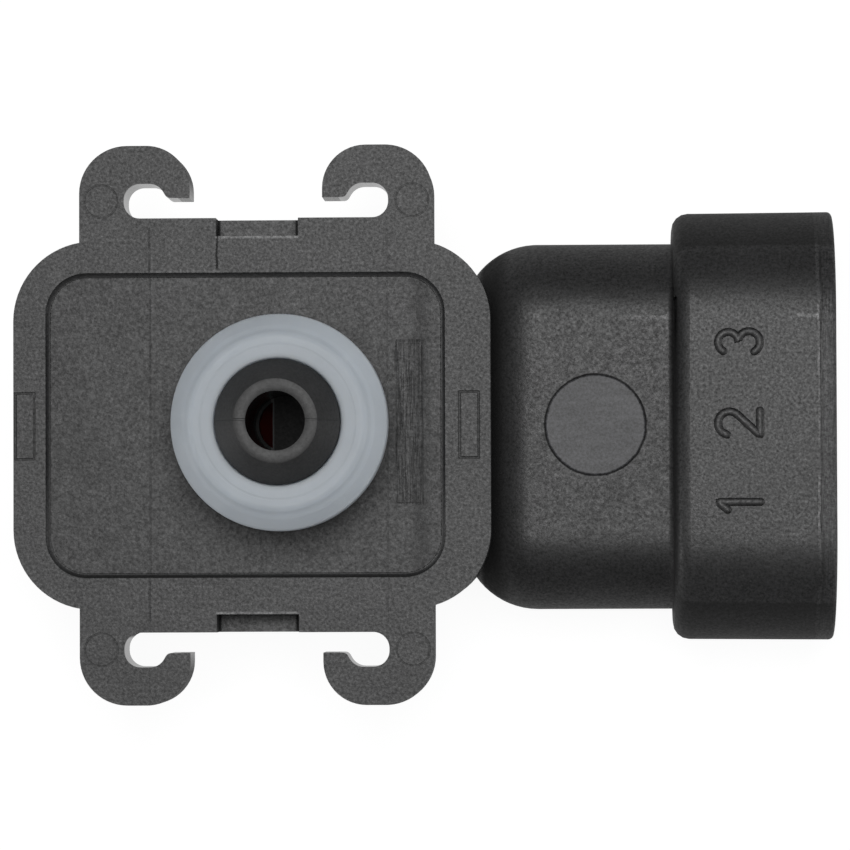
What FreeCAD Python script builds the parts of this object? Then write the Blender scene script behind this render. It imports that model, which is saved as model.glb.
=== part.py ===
# Manifold absolute pressure sensor with four clip hooks and a side connector.
#
# The sensor lies on its back face with the pressure port upwards.
# Origin: where the port's axis meets the back face. +Z points out of the port,
# +X towards the connector's mouth. Lengths are millimetres, angles degrees.

import FreeCAD, Part
import math
import os

import Sketcher
from FreeCAD import Vector

doc = FreeCAD.newDocument("pressure_sensor")
sheet = doc.addObject("Spreadsheet::Sheet", "Sizes")

# Driving sizes: alias, value, what it measures.
DRIVING = (
    # Port plate: flange
    ("face_height", 20.5, "back face to the flange's outer face"),
    ("plate_thickness", 4.8, "flange and hooks, front to back"),
    ("flange_left", 21.76, "port axis to the flange edge away from the connector"),
    ("flange_right", 16.55, "port axis to the flange edge by the connector"),
    ("flange_half_width", 14.78, "port axis to the flange's long edges"),
    ("flange_corner", 6.4, "corner radius of the flange"),
    # Port plate: hooks
    ("hook_middle", 2.23, "port axis to the middle of the hooks, away from the connector"),
    ("hook_half_span", 14.21, "middle of the hooks to a hook's outer edge"),
    ("block_step", 1.84, "flange's long edge to the edge that the slots run along"),
    ("hook_bar", 3.06, "slot to the top of a hook"),
    ("hook_length", 8.88, "outer edge to the tip of a hook"),
    ("hook_outer_round", 3.84, "radius at a hook's root side"),
    ("hook_tip_round", 3.48, "radius at a hook's tip side"),
    ("slot_root", 3.58, "outer edge to the slot's closed end"),
    ("slot_width", 2.78, "clear width of a hook's slot"),
    ("slot_round", 1.3, "corner radius inside a slot"),
    ("tip_drop", 1.14, "how far the tip narrows the slot's mouth"),
    ("tip_flat", 1.83, "flat land under the tip"),
    ("tip_slope", 0.66, "run of the lead-in behind the tip"),
    ("tip_round", 0.5, "radius between the land and the lead-in"),
    # Port plate: marks of the mould
    ("mark_depth", 0.07, "depth of the insert marks"),
    ("rim_left", 2.59, "flange's rim away from the connector"),
    ("rim_right", 3.63, "flange's rim by the connector"),
    ("rim_side", 2.54, "flange's rim along its long edges"),
    ("recess_corner", 3.3, "corner radius of the recess"),
    ("recess_depth", 0.6, "depth of the recess"),
    ("recess_draft", 30.0, "slope of the recess's wall"),
    ("insert_half_width", 2.7, "half width of an insert mark"),
    ("insert_length", 1.6, "length of an insert mark"),
    ("insert_left", 0.1, "flange edge to the far insert mark"),
    ("insert_right", 0.92, "flange edge to the near insert mark"),
    ("witness_width", 0.12, "width of the joint line between mould inserts"),
    ("witness_depth", 0.04, "depth of the joint line"),
    ("witness_left", 10.8, "port axis to the far joint line"),
    ("witness_right", 8.26, "port axis to the near joint line"),
    ("notch_length", 6.6, "key notch in the plate's long edges"),
    ("notch_middle", 2.14, "port axis to the notch's middle, away from the connector"),
    ("notch_inward", 1.45, "how far a notch reaches inward"),
    ("notch_depth", 3.0, "depth of a notch below the outer face"),
    # Port plate: nozzle, baffle and inner boss
    ("nozzle_reach", 12.0, "outer face to the nozzle's tip"),
    ("stem_radius", 4.3, "nozzle where the seal sits"),
    ("head_radius", 4.92, "nozzle head that keeps the seal on"),
    ("head_land", 1.1, "straight length of the head"),
    ("cone_length", 2.6, "length of the nozzle's cone"),
    ("nozzle_tip_radius", 3.3, "outer radius of the nozzle's end ring"),
    ("bore_radius", 2.34, "radius of the pressure port"),
    ("baffle_top", 19.0, "back face to the top of the splash baffle"),
    ("baffle_thickness", 1.5, "thickness of the baffle"),
    ("baffle_edge", 1.0, "port axis to the baffle's edge"),
    ("window_radius", 2.1, "radius of the half-moon window beside the baffle"),
    ("chamber_radius", 4.2, "chamber over the pressure cell"),
    ("boss_wall", 1.4, "wall of the boss round the chamber"),
    # Bonded joint between plate and tub
    ("tub_gap", 0.15, "flange edge to the tub's wall"),
    ("tub_wall", 2.4, "wall of the tub"),
    ("tub_floor", 2.0, "floor of the tub"),
    ("groove_width", 1.2, "adhesive groove in the tub's rim"),
    ("groove_depth", 1.7, "depth of the adhesive groove"),
    ("tongue_width", 0.6, "tongue of the plate in the groove"),
    ("tongue_length", 1.2, "length of the tongue"),
    # Neck and connector shroud
    ("socket_axis", 10.5, "back face to the connector's axis"),
    ("neck_overlap", 2.5, "how far the neck's rounded start reaches under the flange"),
    ("neck_half_width", 14.93, "connector axis to the neck's ends"),
    ("neck_half_height", 6.3, "connector axis to the neck's flats"),
    ("side_land", 0.1, "half width of the flat between two full rounds"),
    ("neck_length", 14.7, "flange edge to the back of the shroud"),
    ("shroud_length", 13.05, "length of the shroud"),
    ("shroud_half_width", 17.4, "connector axis to the shroud's ends"),
    ("shroud_half_height", 8.75, "connector axis to the shroud's flats"),
    ("shroud_draft", 0.4, "how much the shroud widens towards its mouth"),
    ("pad_radius", 4.04, "smooth round pad on the neck"),
    ("pad_setback", 6.29, "back of the shroud to the pad's centre"),
    ("pad_height", 0.06, "how far the pad stands up"),
    ("mouth_wall", 1.7, "wall of the shroud at its mouth"),
    ("mouth_depth", 10.5, "depth of the wide part of the socket"),
    ("throat_wall", 1.8, "wall of the neck round the socket"),
    ("socket_depth", 20.3, "mouth to the socket's floor"),
    ("key_width", 1.2, "width of a polarising rib"),
    ("key_height", 1.2, "height of a polarising rib"),
    ("key_setback", 2.0, "mouth to the start of a polarising rib"),
    ("key_offset", 5.0, "connector axis to a polarising rib"),
    ("ramp_setback", 2.6, "mouth to the foot of the lock ramp"),
    ("ramp_run", 3.6, "length of the lock ramp's slope"),
    ("ramp_land", 0.9, "flat behind the slope"),
    ("ramp_height", 1.3, "height of the lock ramp"),
    ("ramp_width", 6.0, "width of the lock ramp"),
    # Terminals
    ("terminal_pitch", 6.5, "distance between terminals"),
    ("terminal_width", 1.5, "width of a terminal blade"),
    ("terminal_thickness", 0.8, "thickness of a terminal blade"),
    ("blade_length", 10.5, "blade that stands out of the socket's floor"),
    ("blade_chamfer", 0.25, "lead-in at a blade's tip"),
    ("leg_gap", 1.79, "tub's wall to the terminal's leg"),
    ("bend_radius", 0.5, "inner radius of a terminal's bends"),
    ("foot_length", 2.5, "foot of the terminal on the board"),
    ("well_half_width", 9.5, "half width of the well round the terminals"),
    ("well_half_height", 3.0, "half height of the well"),
    ("bulkhead", 4.5, "wall between the well and the socket"),
    ("sealant_depth", 1.8, "depth of the sealant in the well"),
    # Board and what it carries
    ("board_left_gap", 5.33, "tub's wall to the board's far edge"),
    ("board_right_gap", 1.99, "tub's wall to the board's near edge"),
    ("board_side_gap", 2.15, "tub's wall to the board's long edges"),
    ("board_thickness", 1.0, "thickness of the board"),
    ("rail_height", 1.0, "board rails over the tub's floor"),
    ("rail_width", 2.0, "width of a board rail"),
    ("rail_inset", 1.0, "board edge to a rail"),
    ("adhesive_side", 7.0, "side of the adhesive under the board"),
    ("pedestal_side", 2.8, "side of the glass pedestal"),
    ("pedestal_height", 0.9, "height of the glass pedestal"),
    ("die_side", 2.4, "side of the pressure die"),
    ("die_thickness", 0.4, "thickness of the pressure die"),
    ("diaphragm_side", 1.2, "side of the die's etched hollow"),
    ("diaphragm_thickness", 0.12, "silicon left over the hollow"),
    ("ledge_radius", 2.6, "inner radius of the cell ring's ledge"),
    ("cell_height", 3.7, "height of the cell ring"),
    ("gel_cover", 1.8, "gel over the die"),
    ("gasket_thickness", 0.6, "gasket between cell ring and boss"),
    ("gasket_wall", 1.0, "width of the gasket's ring"),
    ("ribbon_thickness", 0.05, "thickness of a bond ribbon"),
    ("ribbon_width", 0.25, "width of a bond ribbon"),
    ("ribbon_span", 1.9, "length of a bond ribbon, foot to foot"),
    ("ribbon_foot", 0.3, "foot of a bond ribbon"),
    ("ribbon_slope", 0.4, "run of a bond ribbon's slope"),
    ("ribbon_rise", 0.5, "height of a bond ribbon's arch"),
    ("ribbon_place", 1.95, "port axis to the middle of a bond ribbon"),
    ("ribbon_spread", 0.8, "distance between bond ribbons"),
    ("chip_place", 10.2, "port axis to the signal chip"),
    ("chip_length", 4.9, "length of the signal chip"),
    ("chip_width", 3.9, "width of the signal chip's body"),
    ("chip_height", 1.4, "height of the signal chip"),
    ("chip_lift", 0.15, "signal chip's body over the board"),
    ("chip_chamfer", 0.3, "bevel of the signal chip's top edges"),
    ("lead_width", 0.42, "width of a lead of the signal chip"),
    ("lead_thickness", 0.2, "thickness of a lead"),
    ("lead_pitch", 1.27, "distance between leads"),
    ("lead_reach", 1.05, "body to the end of a lead"),
    ("lead_foot", 0.5, "foot of a lead"),
    ("capacitor_place", 7.4, "port axis to the capacitors"),
    ("capacitor_length", 2.0, "length of a capacitor"),
    ("capacitor_width", 1.25, "width of a capacitor"),
    ("capacitor_height", 0.9, "height of a capacitor"),
    ("resistor_place", 9.6, "port axis to the resistors"),
    ("resistor_spread", 6.6, "port axis to a resistor, across the board"),
    ("resistor_length", 1.6, "length of a resistor"),
    ("resistor_width", 0.8, "width of a resistor"),
    ("resistor_height", 0.45, "height of a resistor"),
    ("end_cap", 0.35, "length of a chip part's metal end"),
    ("cap_step", 0.04, "how far the metal end stands out"),
    ("solder_thickness", 0.15, "solder under a terminal's foot"),
    ("solder_margin", 0.3, "solder beside a terminal's foot"),
    # Port seal
    ("seal_height", 9.6, "recess floor to the seal's top face"),
    ("seal_rib_radius", 8.35, "radius of the lower sealing rib"),
    ("seal_rib_length", 3.0, "straight length of the lower rib"),
    ("seal_waist_radius", 7.3, "radius between the ribs"),
    ("seal_land_radius", 8.57, "radius of the upper sealing land"),
    ("seal_land_low", 5.2, "recess floor to the upper land"),
    ("seal_land_length", 2.3, "straight length of the upper land"),
    ("seal_shoulder_radius", 7.6, "radius where the shoulder ends"),
    ("seal_shoulder_drop", 0.9, "shoulder's end below the top face"),
    ("seal_face_radius", 6.5, "outer radius of the flat top face"),
    ("seal_slack", 0.05, "seal's counterbore round the nozzle's head"),
)


class Size:
    """A length or angle that knows both its sheet expression and its value."""

    def __init__(self, text, value):
        self.text = text
        self.value = value

    @staticmethod
    def of(other):
        if isinstance(other, Size):
            return other
        return Size(repr(float(other)), float(other))

    def __add__(self, other):
        other = Size.of(other)
        return Size(f"({self.text} + {other.text})", self.value + other.value)

    def __sub__(self, other):
        other = Size.of(other)
        return Size(f"({self.text} - {other.text})", self.value - other.value)

    def __mul__(self, other):
        other = Size.of(other)
        return Size(f"({self.text} * {other.text})", self.value * other.value)

    def __truediv__(self, other):
        other = Size.of(other)
        return Size(f"({self.text} / {other.text})", self.value / other.value)

    def __neg__(self):
        return self * -1


class Sizes:
    """Gives each alias of the sheet as an attribute."""


d = Sizes()
for row, (alias, number, words) in enumerate(DRIVING, start=1):
    sheet.set(f"A{row}", words)
    sheet.set(f"B{row}", str(number))
    sheet.setAlias(f"B{row}", alias)
    setattr(d, alias, Size(f"Sizes.{alias}", number))
doc.recompute()

parts = []


def new_body(label):
    """A body that becomes one node of the part."""
    body = doc.addObject("PartDesign::Body", label)
    body.Label = label
    parts.append(body)
    return body


def new_sketch(body, name, role, lift=None):
    """A sketch on one of the body's own origin planes, lifted along its normal."""
    sketch = body.newObject("Sketcher::SketchObject", name)
    planes = [item for item in body.Origin.OriginFeatures if item.Role == role]
    sketch.AttachmentSupport = (planes[0], [""])
    sketch.MapMode = "FlatFace"
    if lift is not None:
        sketch.setExpression("AttachmentOffset.Base.z", lift.text)
    return sketch


def constrain(sketch, rules):
    """Adds constraints; a rule with a size is bound to the sheet."""
    first = sketch.ConstraintCount
    sketch.addConstraint([rule for rule, _ in rules])
    for index, (_, size) in enumerate(rules, start=first):
        if size is not None:
            sketch.setExpression(f"Constraints[{index}]", size.text)


def place_rules(geometry, point, x, y):
    """Rules that hold a point at x and y; a plain zero puts it on the axis."""
    rules = []
    for kind, axis, size in (("DistanceX", -2, x), ("DistanceY", -1, y)):
        if isinstance(size, Size):
            rule = Sketcher.Constraint(kind, -1, 1, geometry, point, size.value)
            rules.append((rule, size))
        else:
            rule = Sketcher.Constraint("PointOnObject", geometry, point, axis)
            rules.append((rule, None))
    return rules


def outline(sketch, corners):
    """A closed outline through corners of (x, y) or (x, y, radius)."""
    count = len(corners)
    spots = [Vector(Size.of(c[0]).value, Size.of(c[1]).value, 0) for c in corners]
    radii = [c[2] if len(c) == 3 else None for c in corners]
    arrive, leave, arcs, left_turns = [], [], [], []
    for i, spot in enumerate(spots):
        back = (spots[i - 1] - spot).normalize()
        ahead = (spots[(i + 1) % count] - spot).normalize()
        left = back.cross(ahead).z < 0
        left_turns.append(left)
        if radii[i] is None:
            arrive.append(spot)
            leave.append(spot)
            arcs.append(None)
            continue
        half_angle = back.getAngle(ahead) / 2
        radius = radii[i].value
        arrive.append(spot + back * (radius / math.tan(half_angle)))
        leave.append(spot + ahead * (radius / math.tan(half_angle)))
        centre = spot + (back + ahead).normalize() * (radius / math.sin(half_angle))
        start, end = (arrive[i], leave[i]) if left else (leave[i], arrive[i])
        turn = [math.atan2(p.y - centre.y, p.x - centre.x) for p in (start, end)]
        circle = Part.Circle(centre, Vector(0, 0, 1), radius)
        arcs.append(Part.ArcOfCircle(circle, turn[0], turn[1]))

    runs = [Part.LineSegment(leave[i], arrive[(i + 1) % count]) for i in range(count)]
    run = list(sketch.addGeometry(runs, False))
    rules = []
    for i in range(count):
        before, after = run[i - 1], run[i]
        x, y = corners[i][0], corners[i][1]
        if arcs[i] is None:
            rules.append((Sketcher.Constraint("Coincident", before, 2, after, 1), None))
            rules += place_rules(after, 1, x, y)
            continue
        arc = sketch.addGeometry(arcs[i], False)
        spot = sketch.addGeometry(Part.Point(spots[i]), True)
        enter, leave_at = (1, 2) if left_turns[i] else (2, 1)
        rules += place_rules(spot, 1, x, y)
        for line in (before, after):
            rules.append((Sketcher.Constraint("PointOnObject", spot, 1, line), None))
        rules.append((Sketcher.Constraint("Tangent", before, 2, arc, enter), None))
        rules.append((Sketcher.Constraint("Tangent", arc, leave_at, after, 1), None))
        rules.append((Sketcher.Constraint("Radius", arc, radii[i].value), radii[i]))
    constrain(sketch, rules)


def box_outline(sketch, left, right, low, high, radius=None):
    """A rectangle between four sizes, with rounded corners where a radius is given."""
    spots = [(left, low), (right, low), (right, high), (left, high)]
    if radius is not None:
        spots = [(x, y, radius) for x, y in spots]
    outline(sketch, spots)


def circle_outline(sketch, x, y, radius):
    """A full circle at x and y."""
    centre = Vector(Size.of(x).value, Size.of(y).value, 0)
    round_line = sketch.addGeometry(Part.Circle(centre, Vector(0, 0, 1), radius.value), False)
    rules = place_rules(round_line, 3, x, y)
    rules.append((Sketcher.Constraint("Radius", round_line, radius.value), radius))
    constrain(sketch, rules)


def chord_outline(sketch, radius, chord):
    """The part of a circle that lies beyond a chord on its left side."""
    reach = math.acos(-chord.value / radius.value)
    circle = Part.Circle(Vector(0, 0, 0), Vector(0, 0, 1), radius.value)
    arc = sketch.addGeometry(Part.ArcOfCircle(circle, reach, 2 * math.pi - reach), False)
    high = Vector(-chord.value, radius.value * math.sin(reach), 0)
    low = Vector(high.x, -high.y, 0)
    line = sketch.addGeometry(Part.LineSegment(low, high), False)
    constrain(sketch, [
        (Sketcher.Constraint("Coincident", arc, 3, -1, 1), None),
        (Sketcher.Constraint("Coincident", arc, 1, line, 2), None),
        (Sketcher.Constraint("Coincident", arc, 2, line, 1), None),
        (Sketcher.Constraint("Vertical", line), None),
        (Sketcher.Constraint("Radius", arc, radius.value), radius),
        (Sketcher.Constraint("DistanceX", -1, 1, line, 1, -chord.value), -chord),
    ])


def flange_outline(sketch, inset):
    """The flange's rounded rectangle, moved inward by inset."""
    box_outline(sketch, -(d.flange_left - inset), d.flange_right - inset,
                -(d.flange_half_width - inset), d.flange_half_width - inset,
                d.flange_corner - inset)


def extrude(kind, body, sketch, length, backwards, symmetric, taper):
    """Sets up a pad or a pocket of the sketch."""
    feature = body.newObject(f"PartDesign::{kind}", f"{sketch.Name}_{kind.lower()}")
    feature.Profile = sketch
    feature.setExpression("Length", length.text)
    feature.Reversed = backwards
    if symmetric:
        feature.SideType = "Symmetric"
    if taper is not None:
        feature.setExpression("TaperAngle", taper.text)
    doc.recompute()
    return feature


def volume(body):
    """The body's volume so far; an empty body has none."""
    return 0.0 if body.Shape.isNull() else body.Shape.Volume


def pad(body, sketch, length, backwards=False, symmetric=False, taper=None):
    """Adds material over the sketch; the body has to grow."""
    before = volume(body)
    feature = extrude("Pad", body, sketch, length, backwards, symmetric, taper)
    if volume(body) <= before:
        raise RuntimeError(f"{feature.Name} adds nothing")
    return feature


def pocket(body, sketch, length, backwards=False, symmetric=False, taper=None):
    """Cuts the sketch out; the body has to lose material."""
    before = volume(body)
    feature = extrude("Pocket", body, sketch, length, backwards, symmetric, taper)
    if volume(body) >= before:
        raise RuntimeError(f"{feature.Name} cuts nothing")
    return feature


def revolve(body, sketch):
    """Turns the sketch once round its own vertical axis."""
    feature = body.newObject("PartDesign::Revolution", f"{sketch.Name}_turned")
    feature.Profile = sketch
    feature.ReferenceAxis = (sketch, ["V_Axis"])
    feature.Angle = 360
    doc.recompute()
    return feature


def dress(kind, body, size, wanted):
    """Rounds or bevels the edges whose bounding box is wanted."""
    base = body.Tip
    edges = base.Shape.Edges
    names = [f"Edge{n}" for n, edge in enumerate(edges, start=1) if wanted(edge.BoundBox)]
    if not names:
        raise RuntimeError(f"no edge of {body.Label} to dress")
    feature = body.newObject(f"PartDesign::{kind}", f"{body.Name}_{kind.lower()}")
    feature.Base = (base, names)
    feature.setExpression("Radius" if kind == "Fillet" else "Size", size.text)
    doc.recompute()
    return feature


def near(first, second):
    """Whether two positions on the shape are the same."""
    return abs(first - second) < 1e-4


def move(body, x=None, y=None, z=None):
    """Binds the body's place to sizes."""
    for axis, size in (("x", x), ("y", y), ("z", z)):
        if size is not None:
            body.setExpression(f"Placement.Base.{axis}", size.text)


# Levels over the back face that several pieces share
block_half_width = d.flange_half_width + d.block_step
hook_half_reach = block_half_width + d.slot_width + d.hook_bar
recess_half_width = d.flange_half_width - d.rim_side
plate_back = d.face_height - d.plate_thickness
recess_floor = d.face_height - d.recess_depth
board_back = d.tub_floor + d.rail_height
board_top = board_back + d.board_thickness
die_top = board_top + d.pedestal_height + d.die_thickness
cell_top = board_top + d.cell_height
boss_end = cell_top + d.gasket_thickness
boss_radius = d.chamber_radius + d.boss_wall
nozzle_top = d.face_height + d.nozzle_reach
groove_inset = d.tub_gap + d.tub_wall / 2
cavity_inset = d.tub_gap + d.tub_wall
cavity_right = d.flange_right - cavity_inset
board_left = d.flange_left - cavity_inset - d.board_left_gap
board_right = cavity_right - d.board_right_gap
board_half_width = d.flange_half_width - cavity_inset - d.board_side_gap
shroud_start = d.flange_right + d.neck_length
shroud_end = shroud_start + d.shroud_length
socket_floor = shroud_end - d.socket_depth
well_floor = socket_floor - d.bulkhead
blade_tip = socket_floor + d.blade_length


def hook_corners(end, side):
    """A hook's outline; end and side are 1 or -1 and say which of the four it is."""
    def spot(inward, reach, radius=None):
        x = -d.hook_middle + (d.hook_half_span - inward) * end
        y = reach * side
        return (x, y) if radius is None else (x, y, radius)

    overlap = 1.0
    slot_top = block_half_width + d.slot_width
    tip_end = slot_top - d.tip_drop
    tip_in = d.hook_length - d.tip_flat
    root = block_half_width - overlap
    return [
        spot(Size.of(0), root),
        spot(Size.of(0), hook_half_reach, d.hook_outer_round),
        spot(d.hook_length, hook_half_reach, d.hook_tip_round),
        spot(d.hook_length, tip_end),
        spot(tip_in, tip_end, d.tip_round),
        spot(tip_in - d.tip_slope, slot_top, d.slot_round),
        spot(d.slot_root, slot_top, d.slot_round),
        spot(d.slot_root, block_half_width, d.slot_round),
        spot(d.slot_root + d.slot_round * 2, block_half_width),
        spot(d.slot_root + d.slot_round * 2, root),
    ]


def build_port_plate():
    """The moulded cover: flange, four hooks, nozzle, baffle and inner boss."""
    body = new_body("port_plate")
    flange = new_sketch(body, "flange", "XY_Plane", plate_back)
    flange_outline(flange, Size.of(0))
    pad(body, flange, d.plate_thickness)
    block = new_sketch(body, "block", "XY_Plane", plate_back)
    box_outline(block, -(d.hook_middle + d.hook_half_span), d.hook_half_span - d.hook_middle,
                -block_half_width, block_half_width)
    pad(body, block, d.plate_thickness)
    for end in (-1, 1):
        for side in (-1, 1):
            hook = new_sketch(body, "hook", "XY_Plane", plate_back)
            outline(hook, hook_corners(end, side))
            pad(body, hook, d.plate_thickness)

    recess = new_sketch(body, "recess", "XY_Plane", d.face_height)
    box_outline(recess, -(d.flange_left - d.rim_left), d.flange_right - d.rim_right,
                -recess_half_width, recess_half_width, d.recess_corner)
    pocket(body, recess, d.recess_depth, taper=-d.recess_draft)
    for side in (-1, 1):
        notch = new_sketch(body, "notch", "XY_Plane", d.face_height)
        inner = (block_half_width - d.notch_inward) * side
        outer = (block_half_width + d.notch_inward) * side
        box_outline(notch, -(d.notch_middle + d.notch_length / 2),
                    d.notch_length / 2 - d.notch_middle, inner, outer)
        pocket(body, notch, d.notch_depth)

    nozzle = new_sketch(body, "nozzle", "XZ_Plane")
    cone_start = nozzle_top - d.cone_length
    outline(nozzle, [
        (0, recess_floor - d.recess_depth),
        (d.stem_radius, recess_floor - d.recess_depth),
        (d.stem_radius, cone_start - d.head_land),
        (d.head_radius, cone_start - d.head_land),
        (d.head_radius, cone_start),
        (d.nozzle_tip_radius, nozzle_top),
        (0, nozzle_top),
    ])
    revolve(body, nozzle)
    boss = new_sketch(body, "boss", "XY_Plane", boss_end)
    circle_outline(boss, 0, 0, boss_radius)
    pad(body, boss, plate_back - boss_end)
    tongue = new_sketch(body, "tongue", "XY_Plane", plate_back)
    flange_outline(tongue, groove_inset - d.tongue_width / 2)
    flange_outline(tongue, groove_inset + d.tongue_width / 2)
    pad(body, tongue, d.tongue_length, backwards=True)

    bore = new_sketch(body, "bore", "XY_Plane", nozzle_top)
    circle_outline(bore, 0, 0, d.bore_radius)
    pocket(body, bore, nozzle_top - d.baffle_top)
    window = new_sketch(body, "window", "XY_Plane", d.baffle_top)
    chord_outline(window, d.window_radius, d.baffle_edge)
    pocket(body, window, d.baffle_thickness)
    chamber = new_sketch(body, "chamber", "XY_Plane", boss_end)
    circle_outline(chamber, 0, 0, d.chamber_radius)
    pocket(body, chamber, d.baffle_top - d.baffle_thickness - boss_end, backwards=True)

    marks = new_sketch(body, "marks", "XY_Plane", d.face_height)
    far_edge = -(d.flange_left - d.insert_left)
    near_edge = d.flange_right - d.insert_right
    for start in (far_edge, near_edge - d.insert_length):
        box_outline(marks, start, start + d.insert_length,
                    -d.insert_half_width, d.insert_half_width)
    pocket(body, marks, d.mark_depth)
    for level in (d.face_height, recess_floor):
        lines = new_sketch(body, "joint_lines", "XY_Plane", level)
        for x in (-d.witness_left, d.witness_right):
            reach = hook_half_reach if level is d.face_height else recess_half_width
            box_outline(lines, x - d.witness_width / 2, x + d.witness_width / 2, -reach, reach)
        pocket(body, lines, d.witness_depth)


def build_port_seal():
    """The silicone grommet on the nozzle, with two sealing ribs."""
    body = new_body("port_seal")
    ring = new_sketch(body, "seal_section", "XZ_Plane")
    top = recess_floor + d.seal_height
    head_base = nozzle_top - d.cone_length - d.head_land
    counterbore = d.head_radius + d.seal_slack
    land_low = recess_floor + d.seal_land_low
    slope = (d.seal_land_radius - d.seal_waist_radius) / 2
    outline(ring, [
        (d.stem_radius, recess_floor),
        (d.seal_rib_radius, recess_floor),
        (d.seal_rib_radius, recess_floor + d.seal_rib_length),
        (d.seal_waist_radius, recess_floor + d.seal_rib_length + slope),
        (d.seal_land_radius, land_low),
        (d.seal_land_radius, land_low + d.seal_land_length),
        (d.seal_shoulder_radius, top - d.seal_shoulder_drop),
        (d.seal_face_radius, top),
        (counterbore, top),
        (counterbore, head_base),
        (d.stem_radius, head_base),
    ])
    revolve(body, ring)


def build_housing():
    """The moulded case: tub, neck and connector shroud in one piece."""
    body = new_body("housing")
    neck = new_sketch(body, "neck", "XY_Plane", d.socket_axis - d.neck_half_height)
    neck_start = d.flange_right - d.neck_overlap
    box_outline(neck, neck_start, shroud_start, -d.neck_half_width, d.neck_half_width)
    pad(body, neck, d.neck_half_height * 2)
    end = shroud_start.value
    full_round = d.neck_half_height - d.side_land
    dress("Fillet", body, full_round, lambda box: not near(box.XMin, end))

    shroud = new_sketch(body, "shroud", "YZ_Plane", shroud_start)
    stadium(shroud, d.shroud_half_width, d.shroud_half_height)
    pad(body, shroud, d.shroud_length, taper=d.shroud_draft)

    ramp = new_sketch(body, "lock_ramp", "XZ_Plane")
    skin = d.socket_axis - d.shroud_half_height
    foot = shroud_end - d.ramp_setback
    crest = foot - d.ramp_run
    inside = skin + d.mouth_wall / 2
    outline(ramp, [
        (foot, inside),
        (foot, skin),
        (crest, skin - d.ramp_height),
        (crest - d.ramp_land, skin - d.ramp_height),
        (crest - d.ramp_land, inside),
    ])
    pad(body, ramp, d.ramp_width, symmetric=True)

    tub = new_sketch(body, "tub", "XY_Plane")
    flange_outline(tub, d.tub_gap)
    pad(body, tub, plate_back)

    round_pad = new_sketch(body, "round_pad", "XY_Plane", d.socket_axis + d.neck_half_height)
    circle_outline(round_pad, shroud_start - d.pad_setback, 0, d.pad_radius)
    pad(body, round_pad, d.pad_height)

    mouth_cut = new_sketch(body, "mouth", "YZ_Plane", shroud_end)
    stadium(mouth_cut, d.shroud_half_width - d.mouth_wall, d.shroud_half_height - d.mouth_wall)
    pocket(body, mouth_cut, d.mouth_depth)
    throat = new_sketch(body, "throat", "YZ_Plane", shroud_end)
    stadium(throat, d.neck_half_width - d.throat_wall, d.neck_half_height - d.throat_wall)
    pocket(body, throat, d.socket_depth)
    keys = new_sketch(body, "keys", "YZ_Plane", shroud_end - d.mouth_depth)
    key_top = d.socket_axis + d.shroud_half_height - d.mouth_wall / 2
    key_low = d.socket_axis + d.shroud_half_height - d.mouth_wall - d.key_height
    for side in (-1, 1):
        middle = d.key_offset * side
        box_outline(keys, middle - d.key_width / 2, middle + d.key_width / 2, key_low, key_top)
    pad(body, keys, d.mouth_depth - d.key_setback)

    cavity = new_sketch(body, "cavity", "XY_Plane", plate_back)
    flange_outline(cavity, cavity_inset)
    pocket(body, cavity, plate_back - d.tub_floor)
    groove = new_sketch(body, "groove", "XY_Plane", plate_back)
    flange_outline(groove, groove_inset - d.groove_width / 2)
    flange_outline(groove, groove_inset + d.groove_width / 2)
    pocket(body, groove, d.groove_depth)
    well = new_sketch(body, "well", "YZ_Plane", cavity_right)
    well_outline(well)
    pocket(body, well, well_floor - cavity_right, backwards=True)
    slots = new_sketch(body, "terminal_slots", "YZ_Plane", socket_floor)
    terminal_sections(slots)
    pocket(body, slots, socket_floor - well_floor)

    rails = new_sketch(body, "board_rails", "XY_Plane", d.tub_floor)
    rail_reach = board_half_width - d.rail_inset
    for left in (-(board_left - d.rail_inset), board_right - d.rail_inset - d.rail_width):
        box_outline(rails, left, left + d.rail_width, -rail_reach, rail_reach)
    pad(body, rails, d.rail_height)


def stadium(sketch, half_width, half_height):
    """A flat oval round the connector's axis, with almost full round ends."""
    box_outline(sketch, -half_width, half_width, d.socket_axis - half_height,
                d.socket_axis + half_height, half_height - d.side_land)


def well_outline(sketch):
    """The well in the bulkhead, seen along the connector's axis."""
    box_outline(sketch, -d.well_half_width, d.well_half_width,
                d.socket_axis - d.well_half_height, d.socket_axis + d.well_half_height)


def terminal_sections(sketch):
    """The cross-sections of the three terminals, side by side."""
    for place in TERMINAL_PLACES:
        middle = d.terminal_pitch * place
        box_outline(sketch, middle - d.terminal_width / 2, middle + d.terminal_width / 2,
                    d.socket_axis - d.terminal_thickness / 2,
                    d.socket_axis + d.terminal_thickness / 2)


TERMINAL_PLACES = (-1, 0, 1)


def build_cover_adhesive():
    """The cured bead that fills the tub's groove round the plate's tongue."""
    body = new_body("cover_adhesive")
    bead = new_sketch(body, "bead", "XY_Plane", plate_back - d.groove_depth)
    flange_outline(bead, groove_inset - d.groove_width / 2)
    flange_outline(bead, groove_inset + d.groove_width / 2)
    pad(body, bead, d.groove_depth)
    tongue = new_sketch(body, "tongue_space", "XY_Plane", plate_back)
    flange_outline(tongue, groove_inset - d.tongue_width / 2)
    flange_outline(tongue, groove_inset + d.tongue_width / 2)
    pocket(body, tongue, d.tongue_length)


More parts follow.
